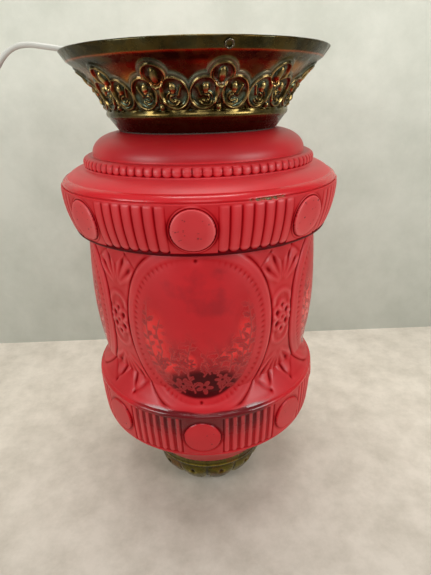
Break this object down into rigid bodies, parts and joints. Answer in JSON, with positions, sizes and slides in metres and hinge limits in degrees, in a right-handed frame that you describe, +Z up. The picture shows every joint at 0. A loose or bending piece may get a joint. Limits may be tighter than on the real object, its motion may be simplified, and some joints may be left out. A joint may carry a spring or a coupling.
{
  "type": "pendant ceiling light",
  "caption": "Hanging hall lantern with a ruby pressed-glass body, flared brass crown with chain eyelets, brass base cup, bayonet bulb inside and a free supply flex",
  "frame": {"origin": "centre of the foot ring on the surface the lantern stands on", "axes": "+Z up along the lantern's axis, -Y towards the front, +X to the right seen from the front"},
  "size_m": [0.4143, 0.2392, 0.4237],
  "materials": {
    "patina_brass": "stamped brass with a dark patina, rubbed bright on the raised parts",
    "cup_brass": "stamped brass, lightly patinated",
    "bright_brass": "plain turned brass",
    "ruby_glass": "mould-pressed ruby glass with a satin face",
    "bulb_glass": "pearl glass",
    "steel": "zinc plated",
    "gasket": "dark felt",
    "dark_plastic": "dark moulded resin",
    "pale_plastic": "off-white nylon",
    "flex_sheath": "grey-white flexible plastic sheath",
    "core_brown": "flexible plastic",
    "core_blue": "flexible plastic",
    "copper": "twisted bare strands",
    "tie": "paper-covered wire"
  },
  "bodies": {
    "lantern": {"crown": "patina_brass", "base_cup": "cup_brass", "chain_eyelets": "bright_brass", "lampholder_cap": "bright_brass", "lampholder_body": "bright_brass", "hollow_nipple": "bright_brass", "nipple_locknut": "bright_brass", "terminal_screws": "bright_brass", "clip_screws": "bright_brass", "glass_body": "ruby_glass", "seat_ring": "steel", "bridge": "steel", "bridge_screws": "steel", "base_bar": "steel", "base_stud": "steel", "stud_nut": "steel", "cup_gasket": "gasket", "crown_gasket": "gasket", "bar_pads": "gasket", "terminal_block": "dark_plastic", "cord_grip": "pale_plastic", "grip_screw": "pale_plastic", "flex_free": "flex_sheath", "flex_coil": "flex_sheath", "flex_inner": "flex_sheath", "flex_core_brown": "core_brown", "inner_core_brown": "core_brown", "flex_core_blue": "core_blue", "inner_core_blue": "core_blue", "flex_strands": "copper", "coil_tie": "tie"},
    "clip_1": {"glass_clip_1": "bright_brass"},
    "clip_2": {"glass_clip_2": "bright_brass"},
    "clip_3": {"glass_clip_3": "bright_brass"},
    "bulb": {"bulb_cap": "bright_brass", "bulb_insulator": "dark_plastic", "bulb_contacts": "steel", "bulb_envelope": "bulb_glass"},
    "plunger_left": {"contact_plunger_left": "bright_brass"},
    "plunger_right": {"contact_plunger_right": "bright_brass"},
    "holder_ring": {"lampholder_ring": "pale_plastic"},
    "foot_nut": {"base_nut": "bright_brass"}
  },
  "joints": [
    {"name": "clip_turn_1", "type": "hinge", "parent": "lantern", "child": "clip_1", "pos_m": [0.05196, 0.03, 0.3634], "axis": [0, 0, 1], "range_deg": [0, 90]},
    {"name": "clip_turn_2", "type": "hinge", "parent": "lantern", "child": "clip_2", "pos_m": [-0.05196, 0.03, 0.3634], "axis": [0, 0, 1], "range_deg": [0, 90]},
    {"name": "clip_turn_3", "type": "hinge", "parent": "lantern", "child": "clip_3", "pos_m": [0, -0.06, 0.3634], "axis": [0, 0, 1], "range_deg": [0, 90]},
    {"name": "bulb_twist", "type": "hinge", "parent": "lantern", "child": "bulb", "pos_m": [0, 0, 0.3198], "axis": [0, 0, 1], "range_deg": [-20, 0]},
    {"name": "plunger_left_press", "type": "slide", "parent": "lantern", "child": "plunger_left", "axis": [0, 0, 1], "range_m": [0, 0.002], "stiffness_N_per_m": 400},
    {"name": "plunger_right_press", "type": "slide", "parent": "lantern", "child": "plunger_right", "axis": [0, 0, 1], "range_m": [0, 0.002], "stiffness_N_per_m": 400},
    {"name": "holder_ring_turn", "type": "hinge", "parent": "lantern", "child": "holder_ring", "pos_m": [0, 0, 0.3215], "axis": [0, 0, 1], "continuous": true},
    {"name": "foot_nut_turn", "type": "hinge", "parent": "lantern", "child": "foot_nut", "pos_m": [0, 0, 0.0066], "axis": [0, 0, 1], "continuous": true}
  ]
}
